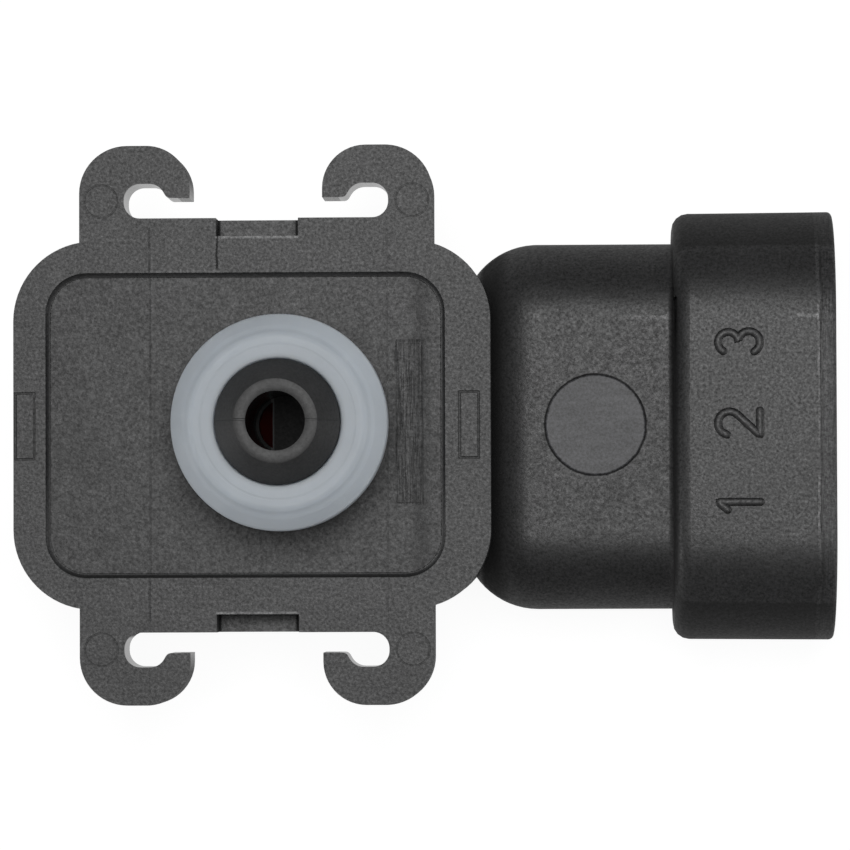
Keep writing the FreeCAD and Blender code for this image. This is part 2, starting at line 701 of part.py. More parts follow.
def build_terminals():
    """Three bent blades, each with its solder on the board."""
    half = d.terminal_thickness / 2
    outer_bend = d.bend_radius + d.terminal_thickness
    foot_bottom = board_top + d.solder_thickness
    leg_out = cavity_right - d.leg_gap + half
    leg_in = leg_out - d.terminal_thickness
    foot_end = leg_in - d.foot_length
    for number, place in enumerate(TERMINAL_PLACES, start=1):
        body = new_body(f"terminal_{number}")
        strip = new_sketch(body, "strip", "XZ_Plane")
        outline(strip, [
            (blade_tip, d.socket_axis - half),
            (blade_tip, d.socket_axis + half),
            (leg_in, d.socket_axis + half, outer_bend),
            (leg_in, foot_bottom + d.terminal_thickness, d.bend_radius),
            (foot_end, foot_bottom + d.terminal_thickness),
            (foot_end, foot_bottom),
            (leg_out, foot_bottom, outer_bend),
            (leg_out, d.socket_axis - half, d.bend_radius),
        ])
        pad(body, strip, d.terminal_width, symmetric=True)
        tip = blade_tip.value
        dress("Chamfer", body, d.blade_chamfer, lambda box: near(box.XMin, tip))
        move(body, y=d.terminal_pitch * place)

        solder = new_body(f"solder_{number}")
        joint = new_sketch(solder, "joint", "XY_Plane")
        half_joint = d.terminal_width / 2 + d.solder_margin
        box_outline(joint, foot_end - d.solder_margin, leg_in, -half_joint, half_joint)
        pad(solder, joint, d.solder_thickness)
        move(solder, y=d.terminal_pitch * place, z=board_top)


def build_terminal_sealant():
    """The sealant poured round the terminals at the bottom of the well."""
    body = new_body("terminal_sealant")
    pour = new_sketch(body, "pour", "YZ_Plane", well_floor - d.sealant_depth)
    well_outline(pour)
    pad(body, pour, d.sealant_depth)
    slots = new_sketch(body, "sealant_slots", "YZ_Plane", well_floor)
    terminal_sections(slots)
    pocket(body, slots, d.sealant_depth)


def build_board():
    """The circuit board and the adhesive that holds it down."""
    body = new_body("circuit_board")
    sheet_form = new_sketch(body, "board_outline", "XY_Plane", board_back)
    box_outline(sheet_form, -board_left, board_right,
                -board_half_width, board_half_width)
    pad(body, sheet_form, d.board_thickness)
    glue = new_body("board_adhesive")
    square = new_sketch(glue, "adhesive_square", "XY_Plane", d.tub_floor)
    half_side = d.adhesive_side / 2
    box_outline(square, -half_side, half_side, -half_side, half_side)
    pad(glue, square, d.rail_height)


def build_pressure_cell():
    """The glass pedestal, silicon die, cell ring, bond ribbons, gel and gasket."""
    pedestal = new_body("die_pedestal")
    foot = new_sketch(pedestal, "pedestal_outline", "XY_Plane", board_top)
    half_foot = d.pedestal_side / 2
    box_outline(foot, -half_foot, half_foot, -half_foot, half_foot)
    pad(pedestal, foot, d.pedestal_height)

    die = new_body("pressure_die")
    chip = new_sketch(die, "die_outline", "XY_Plane", die_top - d.die_thickness)
    half_die = d.die_side / 2
    box_outline(chip, -half_die, half_die, -half_die, half_die)
    pad(die, chip, d.die_thickness)
    hollow = new_sketch(die, "hollow", "XY_Plane", die_top - d.die_thickness)
    half_hollow = d.diaphragm_side / 2
    box_outline(hollow, -half_hollow, half_hollow, -half_hollow, half_hollow)
    pocket(die, hollow, d.die_thickness - d.diaphragm_thickness, backwards=True)

    ring = new_body("cell_ring")
    section = new_sketch(ring, "cell_section", "XZ_Plane")
    outline(section, [
        (d.ledge_radius, board_top),
        (boss_radius, board_top),
        (boss_radius, cell_top),
        (d.chamber_radius, cell_top),
        (d.chamber_radius, die_top),
        (d.ledge_radius, die_top),
    ])
    revolve(ring, section)

    gasket = new_body("cell_gasket")
    washer = new_sketch(gasket, "washer", "XY_Plane", cell_top)
    circle_outline(washer, 0, 0, boss_radius)
    circle_outline(washer, 0, 0, boss_radius - d.gasket_wall)
    pad(gasket, washer, d.gasket_thickness)

    bundle = new_body("bond_ribbons")
    bundle.AllowCompound = True
    thin = d.ribbon_thickness
    for end in (-1, 1):
        middle = d.ribbon_place * end
        foot_end, foot_start = d.ribbon_span / 2, d.ribbon_span / 2 - d.ribbon_foot
        crest = foot_start - d.ribbon_slope
        low, high = die_top, die_top + d.ribbon_rise
        for side in (-1, 1):
            edge = d.ribbon_spread / 2 * side
            arch = new_sketch(bundle, "ribbon", "XZ_Plane", -(edge + d.ribbon_width / 2))
            outline(arch, [
                (middle - foot_end, low),
                (middle - foot_start, low),
                (middle - crest, high - thin),
                (middle + crest, high - thin),
                (middle + foot_start, low),
                (middle + foot_end, low),
                (middle + foot_end, low + thin),
                (middle + foot_start, low + thin),
                (middle + crest, high),
                (middle - crest, high),
                (middle - foot_start, low + thin),
                (middle - foot_end, low + thin),
            ])
            pad(bundle, arch, d.ribbon_width)

    fill = doc.addObject("PartDesign::Body", "gel_fill")
    poured = new_sketch(fill, "gel_section", "XZ_Plane")
    gel_top = die_top + d.gel_cover
    outline(poured, [
        (0, board_top),
        (d.ledge_radius, board_top),
        (d.ledge_radius, die_top),
        (d.chamber_radius, die_top),
        (d.chamber_radius, gel_top),
        (0, gel_top),
    ])
    revolve(fill, poured)
    for half, low, height in ((half_foot, board_top, d.pedestal_height),
                              (half_die, die_top - d.die_thickness, d.die_thickness)):
        space = new_sketch(fill, "buried_space", "XY_Plane", low)
        box_outline(space, -half, half, -half, half)
        pocket(fill, space, height, backwards=True)
    gel = doc.addObject("Part::Cut", "protective_gel")
    gel.Base = fill
    gel.Tool = bundle
    gel.Label = "protective_gel"
    parts.append(gel)


def build_signal_chip():
    """The signal chip: a bevelled body on eight bent leads."""
    body = new_body("signal_chip")
    block = new_sketch(body, "chip_body", "XY_Plane", d.chip_lift)
    half_width, half_length = d.chip_width / 2, d.chip_length / 2
    box_outline(block, -half_width, half_width, -half_length, half_length)
    pad(body, block, d.chip_height)
    top = (d.chip_lift + d.chip_height).value
    dress("Chamfer", body, d.chip_chamfer,
          lambda box: near(box.ZMin, top) and near(box.ZMax, top))
    waist = d.chip_lift + d.chip_height / 2
    knee = half_width + d.lead_reach - d.lead_foot
    for place in (-1.5, -0.5, 0.5, 1.5):
        for end in (-1, 1):
            middle = d.lead_pitch * place
            lead = new_sketch(body, "lead", "XZ_Plane",
                              -(middle + d.lead_width / 2))
            outline(lead, [
                ((half_width - d.chip_chamfer) * end, waist),
                ((knee + d.lead_thickness) * end, waist),
                ((knee + d.lead_thickness) * end, d.lead_thickness),
                ((half_width + d.lead_reach) * end, d.lead_thickness),
                ((half_width + d.lead_reach) * end, 0),
                (knee * end, 0),
                (knee * end, waist - d.lead_thickness),
                ((half_width - d.chip_chamfer) * end, waist - d.lead_thickness),
            ])
            pad(body, lead, d.lead_width)
    move(body, x=-d.chip_place, z=board_top)


def build_chip_part(label, x, y, length, width, height):
    """A ceramic chip part whose metal ends stand slightly proud."""
    body = new_body(label)
    side = new_sketch(body, "side_view", "XZ_Plane")
    half = length / 2
    outline(side, [
        (-half, 0),
        (-(half - d.end_cap), 0),
        (-(half - d.end_cap), d.cap_step),
        (half - d.end_cap, d.cap_step),
        (half - d.end_cap, 0),
        (half, 0),
        (half, height),
        (half - d.end_cap, height),
        (half - d.end_cap, height - d.cap_step),
        (-(half - d.end_cap), height - d.cap_step),
        (-(half - d.end_cap), height),
        (-half, height),
    ])
    pad(body, side, width, symmetric=True)
    move(body, x=x, y=y, z=board_top)


build_housing()
build_port_plate()
build_port_seal()
build_cover_adhesive()
build_terminals()
build_terminal_sealant()
build_board()
build_pressure_cell()
build_signal_chip()
for number, place in enumerate(TERMINAL_PLACES, start=1):
    build_chip_part(f"capacitor_{number}", d.capacitor_place, d.terminal_pitch * place,
                    d.capacitor_length, d.capacitor_width, d.capacitor_height)
for number, side in enumerate((-1, 1), start=1):
    build_chip_part(f"resistor_{number}", -d.resistor_place, d.resistor_spread * side,
                    d.resistor_length, d.resistor_width, d.resistor_height)
doc.recompute()

for item in doc.Objects:
    if "Invalid" in item.State or "Error" in item.State:
        raise RuntimeError(f"{item.Name} failed: {item.State}")
for item in parts:
    if item.Shape.isNull() or not item.Shape.isValid():
        raise RuntimeError(f"{item.Label} has no valid shape")

os.makedirs("parts", exist_ok=True)
for item in parts:
    item.Shape.exportStep(os.path.join("parts", f"{item.Label}.step"))
    box = item.Shape.BoundBox
    print(f"{item.Label}: {box.XLength:.2f} x {box.YLength:.2f} x {box.ZLength:.2f} mm, "
          f"{item.Shape.Volume:.1f} mm3, {len(item.Shape.Solids)} solid")
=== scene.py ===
# %% [markdown]
# # The looks of a manifold pressure sensor
# The sensor's solids come from its CAD model: a moulded case, a port plate with four hooks, a seal,
# three terminals and the pressure cell inside. This lesson gives them their surfaces.
# The case is glass-filled polyester with a fine spark-eroded grain, so most of its look is one
# plastic finish with the marks of its mould. The seal is turned afresh with soft edges.

# %% Load the solids
import math

import bmesh
import bpy
import numpy as np
from mathutils import Matrix, Vector


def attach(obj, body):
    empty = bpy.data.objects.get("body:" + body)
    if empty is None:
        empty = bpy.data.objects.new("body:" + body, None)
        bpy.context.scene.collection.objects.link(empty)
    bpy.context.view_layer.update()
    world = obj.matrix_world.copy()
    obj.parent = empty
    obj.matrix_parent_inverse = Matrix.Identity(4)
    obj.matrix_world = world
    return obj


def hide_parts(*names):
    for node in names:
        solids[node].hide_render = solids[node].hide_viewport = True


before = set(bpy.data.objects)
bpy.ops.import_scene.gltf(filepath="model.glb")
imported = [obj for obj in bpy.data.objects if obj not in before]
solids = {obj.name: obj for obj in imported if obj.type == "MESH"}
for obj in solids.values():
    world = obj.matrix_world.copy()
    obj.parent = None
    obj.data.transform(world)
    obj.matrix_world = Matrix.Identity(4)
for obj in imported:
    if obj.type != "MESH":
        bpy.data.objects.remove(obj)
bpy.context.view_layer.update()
MM = 0.001

# %% [markdown]
# ## Sums in a material
# A finish is a pattern over the object: grain, lines, patches. Writing such patterns as sums over
# the place on the object, in millimetres, keeps them readable, so two small classes wrap the nodes.


# %% A material written as sums
class Value:
    """A number in a material that adds and multiplies like a plain number."""

    def __init__(self, finish, socket):
        self.finish = finish
        self.socket = socket

    def __add__(self, other):
        return self.finish.math("ADD", self, other)

    def __sub__(self, other):
        return self.finish.math("SUBTRACT", self, other)

    def __rsub__(self, other):
        return self.finish.math("SUBTRACT", other, self)

    def __mul__(self, other):
        return self.finish.math("MULTIPLY", self, other)

    def __pow__(self, other):
        return self.finish.math("POWER", self, other)

    def __abs__(self):
        return self.finish.math("ABSOLUTE", self)

    __radd__ = __add__
    __rmul__ = __mul__

    def rise(self, low, high):
        """0 below low, 1 above high and a smooth step between them."""
        settings = {"interpolation_type": "SMOOTHSTEP"}
        inputs = {"Value": self, "From Min": low, "From Max": high}
        return Value(self.finish, self.finish.put("ShaderNodeMapRange", settings, inputs).outputs[0])

    def ramp(self, low, high):
        """0 below low, 1 above high and a straight slope between them."""
        inputs = {"Value": self, "From Min": low, "From Max": high}
        return Value(self.finish, self.finish.put("ShaderNodeMapRange", {}, inputs).outputs[0])

    def fall(self, low, high):
        """1 below low, 0 above high."""
        return 1 - self.rise(low, high)

    def within(self, low, high, soft=0.05):
        """1 between two limits."""
        return self.rise(low - soft, low + soft) * self.fall(high - soft, high + soft)


class Finish:
    """A material with the place on the object, in millimetres, as x, y and z."""

    def __init__(self, name, **constants):
        self.material = bpy.data.materials.new(name)
        self.material.use_nodes = True
        self.tree = self.material.node_tree
        self.shader = self.tree.nodes["Principled BSDF"]
        for socket, number in constants.items():
            self.shader.inputs[socket.replace("_", " ")].default_value = number
        spot = self.put("ShaderNodeTexCoord").outputs["Object"]
        scaled = self.put("ShaderNodeVectorMath", {"operation": "SCALE"}, {0: spot, "Scale": 1000})
        self.place = scaled.outputs[0]
        split = self.put("ShaderNodeSeparateXYZ", {}, {0: self.place})
        self.x, self.y, self.z = (Value(self, socket) for socket in split.outputs)

    def put(self, kind, settings=None, inputs=None):
        """Adds a node with its settings, and links or sets its inputs."""
        node = self.tree.nodes.new(kind)
        for key, setting in (settings or {}).items():
            setattr(node, key, setting)
        for key, given in (inputs or {}).items():
            self.feed(node.inputs[key], given)
        return node

    def feed(self, socket, given):
        """Links a value or socket, or sets a plain number."""
        if isinstance(given, Value):
            given = given.socket
        if isinstance(given, bpy.types.NodeSocket):
            self.tree.links.new(given, socket)
        else:
            socket.default_value = given

    def math(self, operation, first, second=0.0):
        """One Math node."""
        node = self.put("ShaderNodeMath", {"operation": operation}, {0: first, 1: second})
        return Value(self, node.outputs[0])

    def noise(self, fineness, detail=2.0, stretch=(1, 1, 1), lift=0.0):
        """Cloudy noise from 0 to 1 with about that many spots in a millimetre."""
        moved = self.put("ShaderNodeVectorMath", {"operation": "MULTIPLY_ADD"},
                         {0: self.place, 1: stretch, 2: (lift, lift, lift)})
        inputs = {"Vector": moved.outputs[0], "Scale": fineness, "Detail": detail}
        return Value(self, self.put("ShaderNodeTexNoise", {}, inputs).outputs["Fac"])

    def mix(self, first, second, share):
        """A colour between two colours."""
        inputs = {0: share, 6: first, 7: second}
        return self.put("ShaderNodeMix", {"data_type": "RGBA"}, inputs).outputs[2]

    def shade(self, colour, tone):
        """A colour made darker or lighter by tone."""
        inputs = {0: colour[:3], "Scale": tone}
        return self.put("ShaderNodeVectorMath", {"operation": "SCALE"}, inputs).outputs[0]

    def radius(self, x=0.0, y=0.0):
        """Distance from an upright axis through x and y."""
        across, along = self.x - x, self.y - y
        return (across * across + along * along) ** 0.5

    def from_outline(self, left, right, half_width, corner):
        """Distance to a rounded rectangle along the axes, below 0 inside it."""
        across = abs(self.x - (left + right) / 2) - ((right - left) / 2 - corner)
        along = abs(self.y) - (half_width - corner)
        out_x, out_y = (self.math("MAXIMUM", side, 0.0) for side in (across, along))
        within = self.math("MINIMUM", self.math("MAXIMUM", across, along), 0.0)
        return (out_x * out_x + out_y * out_y) ** 0.5 + within - corner

    def relief(self, height):
        """Turns a height in millimetres into the shading of a relief."""
        bump = self.put("ShaderNodeBump", {}, {"Height": height, "Distance": MM, "Strength": 1.0})
        self.feed(self.shader.inputs["Normal"], bump.outputs[0])

    def line(self, value, place, width):
        """1 on a thin line where a value passes a place."""
        return abs(value - place).fall(width * 0.3, width * 0.7)

    def upright(self):
        """1 on walls, 0 on faces that lie level."""
        normal = self.put("ShaderNodeNewGeometry").outputs["True Normal"]
        facing = self.put("ShaderNodeSeparateXYZ", {}, {0: normal})
        return abs(Value(self, facing.outputs[2])).fall(0.2, 0.4)


print("materials are sums over x, y and z in millimetres")

# %% [markdown]
# ## The plastic of the case
# Both mouldings come from spark-eroded tools, whose fine pits leave the matt grey speckle that black
# polyester shows under a soft lamp. The grain is a shallow relief of noise, with a dot about every
# quarter of a millimetre and finer ones between, and glass fibres near the skin show as faint
# lighter dots. Each mark on it changes the tone, the height or the roughness, so the plastic gets
# a class of its own that keeps these three and adds a mark where its mask is 1.


# %% Grained plastic
PLASTIC = (0.0155, 0.0155, 0.0158, 1)
MATT = 0.52
# How much the grain varies the roughness.
GRAIN_SHEEN = 0.09


class Moulding(Finish):
    """Grained black polyester that takes marks in its tone, height and roughness."""

    def __init__(self, name, strength, rough):
        super().__init__(name, Roughness=rough)
        grain = self.noise(4.2, detail=2)
        fine = self.noise(8.5, detail=1, lift=5)
        fibres = self.noise(7, stretch=(1, 0.6, 1), lift=37).rise(0.62, 0.8)
        clouds = self.noise(0.22, detail=4, lift=11)
        self.speckle = ((grain - 0.5) * 3.5 + (fine - 0.5) * 2.0) * strength
        self.tone = 1 + self.speckle + (clouds - 0.5) * 0.9 + fibres * 0.8
        self.height = grain * 0.016 + fine * 0.006 + clouds * 0.14
        self.rough = rough - self.speckle * GRAIN_SHEEN

    def calm(self, mask, relief, sheen=0.0):
        """Takes a share of the grain's relief and sheen away where mask is 1."""
        self.height = self.height * (1 - mask * relief)
        if sheen:
            self.rough = self.rough + self.speckle * mask * (GRAIN_SHEEN * sheen)

    def mark(self, mask, tone=0.0, height=0.0, rough=0.0):
        """Adds a share of tone, a height in millimetres and a roughness where mask is 1."""
        if tone:
            self.tone = self.tone * (1 + mask * tone)
        if height:
            self.height = self.height + mask * height
        if rough:
            self.rough = self.rough + mask * rough

    def done(self, colour):
        """Feeds the colour, the roughness and the relief, and returns the material."""
        self.feed(self.shader.inputs["Base Color"], colour)
        self.feed(self.shader.inputs["Roughness"], self.rough)
        self.relief(self.height)
        return self.material


print("grained plastic: colour", PLASTIC[:3], "roughness", MATT)

# %% [markdown]
# ## Marks of the mould on the port plate
# The plate's mould is built from blocks, and their joints cross the face as faint lines with a
# painted highlight beside them. Two small inserts leave a thin frame at each end of the flange, and
# ejector pins leave a ring on each hook. A narrow patch beside the seal is hatched with fine
# scratches, and a short split runs in from the upper notch. The solid has the joints and inserts as
# very shallow forms. All these marks are only hundredths of a millimetre deep, so their lines are
# drawn by masks in the material: 1 on the mark, 0 beside it.


# %% Marks on the plate's face
FRAMES = ((-21.66, -20.06), (14.03, 15.63))
FRAME_REACH = 2.7
FRAME_LINE = 0.14
PINS = [(x, y) for x in (-14.7, 10.31) for y in (18.0, -18.0)]
PIN_RADIUS = 1.32
PATCH_ACROSS = (8.9, 11.1)
PATCH_ALONG = (-6.4, 6.8)
LEFT_JOINT = -10.8
RIGHT_JOINT = 8.26
SPLIT = -5.2


def mark_frames(finish, on_face):
    """Two thin frames with ragged lines: an outer rectangle less an inner one."""
    for left, right in FRAMES:
        ragged = abs(finish.y + finish.noise(1.6, detail=3, lift=left) * 0.1)
        ragged_x = finish.x + finish.noise(1.6, detail=3, lift=right) * 0.1
        outer = ragged_x.within(left, right + 0.1)
        outer = outer * ragged.fall(FRAME_REACH - 0.04, FRAME_REACH + 0.06)
        inner = finish.x.within(left + FRAME_LINE, right - 0.1)
        inner = inner * ragged.fall(FRAME_REACH - 0.18, FRAME_REACH - 0.08)
        finish.mark((outer - inner) * on_face, tone=-0.5, height=-0.03, rough=0.05)


def mark_pins(finish, on_face):
    """A ring round each ejector pin's place: a thin line where the distance is its radius."""
    for x, y in PINS:
        ring = finish.line(finish.radius(x, y), PIN_RADIUS, 0.13)
        finish.mark(ring * on_face, tone=-0.4, height=-0.011, rough=0.04)


def mark_patch(finish, on_face):
    """A rectangle of scratches along y, which are noise drawn out long, inside a fine outline."""
    patch = finish.x.within(*PATCH_ACROSS, 0.1) * finish.y.within(*PATCH_ALONG, 0.1)
    across = finish.x.within(PATCH_ACROSS[0] + 0.14, PATCH_ACROSS[1] - 0.14, 0.04)
    along = finish.y.within(PATCH_ALONG[0] + 0.14, PATCH_ALONG[1] - 0.14, 0.04)
    scratches = finish.noise(3.2, detail=3, stretch=(2.6, 0.12, 1), lift=3).rise(0.5, 0.62)
    finish.mark(patch * (1 - across * along) * on_face, tone=-0.3, height=-0.015, rough=0.03)
    finish.mark(scratches * patch * on_face, tone=-0.25, height=-0.016, rough=0.04)


def mark_joints(finish, on_face, floor):
    """Two lines across the plate that fade here and there, with a painted highlight beside them, and
    the short wavy split.
    """
    x, y = finish.x, finish.y
    wander = finish.noise(0.7, detail=2, lift=8)
    off_hooks = on_face * abs(y).fall(15.7, 16.0)
    joint = finish.line(x, LEFT_JOINT, 0.14) + finish.line(x, RIGHT_JOINT, 0.14) * 0.5
    joint = joint * off_hooks * (0.4 + wander * 0.9) * (1 - floor * 0.4)
    beside = finish.line(x, LEFT_JOINT + 0.2, 0.2) + finish.line(x, RIGHT_JOINT + 0.2, 0.2)
    split = finish.line(x + wander * 0.3, SPLIT, 0.12) * y.within(12.6, 15.2)
    finish.mark(joint, tone=-0.4, height=-0.015, rough=0.05)
    # painted highlight beside each joint line
    finish.mark(beside * off_hooks, tone=0.15)
    finish.mark(split, tone=-0.7, height=-0.03, rough=0.22)


print("marks on the face:", len(FRAMES), "frames,", len(PINS), "pin rings, a patch and two joints")

# %% [markdown]
# ## Edges and walls of the port plate
# A small fillet joins the recess's floor to its sloping wall. The wall shows as a dark line, and
# the rim beside it has a painted highlight on some sides. The recess's floor, and most of all its
# lower side, has painted shade. The walls inside the hooks' slots come from polished cores of the
# mould, so there the grain goes and a clear coat comes. The two key notches are steps in the
# plate's long edges, with painted shade at their ends and in the lower one's foot, and a painted
# highlight line on the face beside them.


# %% Recess, slots and notches
RECESS_FLOOR = 19.9
RIM_TOP = 20.5
RECESS = {"left": -19.17, "right": 12.92, "half_width": 12.24, "corner": 3.3}
NOTCH_MIDDLE = -2.14
NOTCH_REACH = 3.3
NOTCH_WALL = 15.17


def polish_slots(finish):
    """Smooths the slots' walls except towards the hooks' tips; returns the coat's weight there."""
    x, beyond = finish.x, abs(finish.y)
    tips = (x.within(-8.5, -6.5) + x.within(2.5, 4.4)) * beyond.ramp(17.2, 19.8)
    slots = x.within(-15.5, 11.2) * beyond.within(17.0, 20.0, 0.2)
    wall = finish.upright() * slots * (1 - tips)
    finish.calm(wall, relief=0.9)
    finish.mark(wall, rough=-0.44)
    return wall * finish.z.fall(RECESS_FLOOR, RIM_TOP - 0.1)


def mark_recess(finish):
    """Marks by the distance to the recess's edge, below 0 inside; returns the floor's mask.

    The fillet's height is a parabola over the wall's 0.38 mm. It levels the wall's foot and
    leaves its top steep.
    """
    x, y, z = finish.x, finish.y, finish.z
    edge = finish.from_outline(**RECESS)
    fillet = (1 - edge.ramp(-0.38, 0)) ** 2
    shaded_low_side = edge.within(-0.3, 0.02, 0.1) * y.fall(-11.9, -11.0)
    floor = edge.fall(-0.5, -0.1) * z.within(RECESS_FLOOR - 0.3, RECESS_FLOOR + 0.2)
    painted_edge_highlight = edge.within(0.02, 0.2, 0.04) * z.rise(RIM_TOP - 0.2, RIM_TOP - 0.05)
    lit_sides = y.fall(-1, 1) * 0.7 + x.within(LEFT_JOINT, SPLIT + 0.1) * y.rise(11, 12) * 2
    finish.mark(fillet * (0.42 - shaded_low_side * 0.12 + x.rise(10, 12) * 0.2), height=1)
    # painted shade along the lower side of the recess's edge
    finish.mark(shaded_low_side, tone=-0.5, rough=0.12)
    # painted shade: the recess's floor a little darker than the rim
    finish.mark(floor, tone=-0.12, rough=0.01)
    # painted highlight on the rim's edge, on the sides where light falls
    finish.mark(painted_edge_highlight * lit_sides, tone=0.5)
    return floor


def mark_notches(finish):
    """Key notches: painted shade at the ends and on the lower one's foot, and a painted highlight line
    beside them.
    """
    y, z = finish.y, finish.z
    away = abs(finish.x - NOTCH_MIDDLE)
    notch = away.fall(NOTCH_REACH + 0.1, NOTCH_REACH + 0.14) * z.fall(18.5, 20.2)
    notch = notch * abs(y).rise(NOTCH_WALL - 0.27, NOTCH_WALL - 0.07)
    ends = notch * abs(finish.x - NOTCH_MIDDLE + 0.1).rise(2.98, 3.1)
    along = away.fall(NOTCH_REACH, NOTCH_REACH + 0.06)
    foot = along * z.fall(17.7, 18.0) * y.fall(0.07 - NOTCH_WALL, 0.27 - NOTCH_WALL)
    foot = foot * y.rise(-NOTCH_WALL - 1.13, -NOTCH_WALL - 0.03)
    painted_edge_highlight = along * finish.line(abs(y), NOTCH_WALL - 0.1, 0.2) * z.rise(RIM_TOP - 0.2, RIM_TOP - 0.1)
    finish.mark(notch, rough=-0.02)
    # painted shade at the notch ends and the lower notch's foot, painted highlight on the edge beside
    # them
    finish.mark(ends, tone=-0.9, rough=0.3)
    finish.mark(foot, tone=-0.3, rough=0.1)
    finish.mark(painted_edge_highlight, tone=1.6, rough=-0.1)


print("recess:", RECESS, "notches at x", NOTCH_MIDDLE)

# %% [markdown]
# ## The nozzle and its bore
# The nozzle's half of the mould is turned smooth, so the nozzle has little grain, and painted shade
# makes it darker than the face. A parting line crosses it, and the ring at its tip is rounded.
# Little light enters the bore, so its walls get painted shade, and the edge of the splash baffle
# gets a painted highlight.


# %% Nozzle, bore and the whole plate
NOZZLE_RADIUS = 5.2
CROWN_RADIUS = 2.83
BORE_RADIUS = 2.34
NOZZLE_TOP = 32.5
BAFFLE_EDGE = -1.0


def mark_nozzle(finish, nozzle):
    """Paints shade on the cone and rounds its crown by a parabola of the distance to the crown's ring.
    """
    parting = nozzle * finish.line(finish.y, 0.1, 0.14) * finish.z.rise(28.6, 29.0)
    from_crown = finish.math("MINIMUM", abs(finish.radius() - CROWN_RADIUS), 0.5)
    # painted shade over the whole nozzle, for its sloping cone
    finish.mark(nozzle, tone=-0.6)
    finish.mark(nozzle * from_crown * from_crown, height=-0.22)
    finish.mark(parting, tone=-0.5, height=-0.02)


def paint_bore_shade(finish):
    """Paints shade into the bore and a highlight on the splash baffle's edge; glossy walls and matt
    ledges.
    """
    z = finish.z
    inside = finish.radius().fall(BORE_RADIUS + 0.02, BORE_RADIUS + 0.06)
    inside = inside * z.fall(NOZZLE_TOP - 0.2, NOZZLE_TOP - 0.1)
    sill_highlight = inside * z.within(18.6, 19.3) * finish.line(finish.x, BAFFLE_EDGE, 0.24)
    # painted shade inside the bore, with a painted highlight on the baffle's edge
    finish.tone = finish.tone * (1 - inside) + (0.1 + sill_highlight * 2.5) * inside
    finish.mark(inside * (0.3 - finish.upright() * 0.66), rough=1)


def finish_plate():
    """The port plate: first what calms the grain, then the marks, and the bore last."""
    finish = Moulding("plate_grain", strength=0.92, rough=MATT + 0.012)
    z = finish.z
    on_face = z.rise(RECESS_FLOOR - 0.3, RECESS_FLOOR - 0.1)
    nozzle = finish.radius().fall(NOZZLE_RADIUS, NOZZLE_RADIUS + 0.1)
    nozzle = nozzle * z.rise(RECESS_FLOOR + 0.1, RIM_TOP - 0.1)
    finish.calm(nozzle, relief=0.75, sheen=0.6)
    coat = polish_slots(finish)
    floor = mark_recess(finish)
    mark_joints(finish, on_face, floor)
    mark_frames(finish, on_face)
    mark_pins(finish, on_face)
    mark_patch(finish, on_face)
    mark_notches(finish)
    mark_nozzle(finish, nozzle)
    paint_bore_shade(finish)
    finish.feed(finish.shader.inputs["Coat Weight"], coat)
    return finish.done(finish.shade(PLASTIC, finish.tone))


def dress(node, material):
    """Gives a solid its material."""
    solids[node].data.materials.clear()
    solids[node].data.materials.append(material)


dress("port_plate", finish_plate())
print("the port plate has its grain and mould marks")

# %% [markdown]
# ## Marks of the case
# On the neck lies a round pad of smoother and paler plastic in a dark ring. A strip of 1.3 mm at
# the shroud's mouth is brushed, and a ragged parting line bounds it, with a painted shadow line
# beside it. The neck rounds off towards the tub, and a small fillet joins it to the shroud. Both
# have painted shade, where less light reaches them, and so has the shroud's back rim. A painted
# highlight runs as a light crease along parts of the upper side of neck and shroud.


# %% Finish of the case
PAD_MIDDLE = 24.96
PAD_RADIUS = 4.0
PAD_GREY = (0.029, 0.029, 0.032, 1)
PARTING = 43.12
SHROUD_BACK = 31.25


def polish_pad(finish, wander):
    """A disc with a ragged edge and a ring of uneven strength; returns its mask and streaks."""
    on_neck = finish.z.rise(16.5, 16.7) * finish.z.fall(17.2, 17.4)
    ragged = finish.radius(PAD_MIDDLE, 0) + (finish.noise(1.1, detail=3, lift=9) - 0.5) * 0.12
    pad = ragged.fall(PAD_RADIUS, PAD_RADIUS + 0.08) * on_neck
    ring = finish.line(ragged, PAD_RADIUS + 0.05, 0.21) * on_neck * (0.2 + wander * 1.3)
    streaks = finish.noise(0.9, detail=3, stretch=(0.5, 2.4, 1), lift=6)
    finish.calm(pad, relief=0.92, sheen=1)
    finish.mark(pad * (0.02 - streaks * 0.06), rough=1)
    finish.mark(ring, tone=-0.85, rough=0.4)
    return pad, streaks


def brush_mouth(finish, wander):
    """The strip at the mouth: noise drawn out round the shroud, a light line and a painted shadow line
    beside it.
    """
    strip = finish.x.rise(PARTING - 0.17, PARTING - 0.02)
    brush = finish.noise(3.2, detail=3, stretch=(6, 0.1, 0.3), lift=2)
    wavy = finish.x + wander * 0.5
    parting = finish.line(wavy, PARTING, 0.26) * wander.rise(0.3, 0.6)
    finish.calm(strip, relief=0.6)
    finish.mark(strip * (0.5 + (brush - 0.5) * 3.2), tone=1)
    finish.mark(strip * (0.075 + (brush - 0.5) * 0.3), rough=-1)
    finish.mark(strip * brush, height=0.05)
    finish.mark(parting, tone=1.4, height=0.02, rough=-0.06)
    # painted shadow beside the parting line
    finish.mark(finish.line(wavy, PARTING + 0.24, 0.2), tone=-0.4)


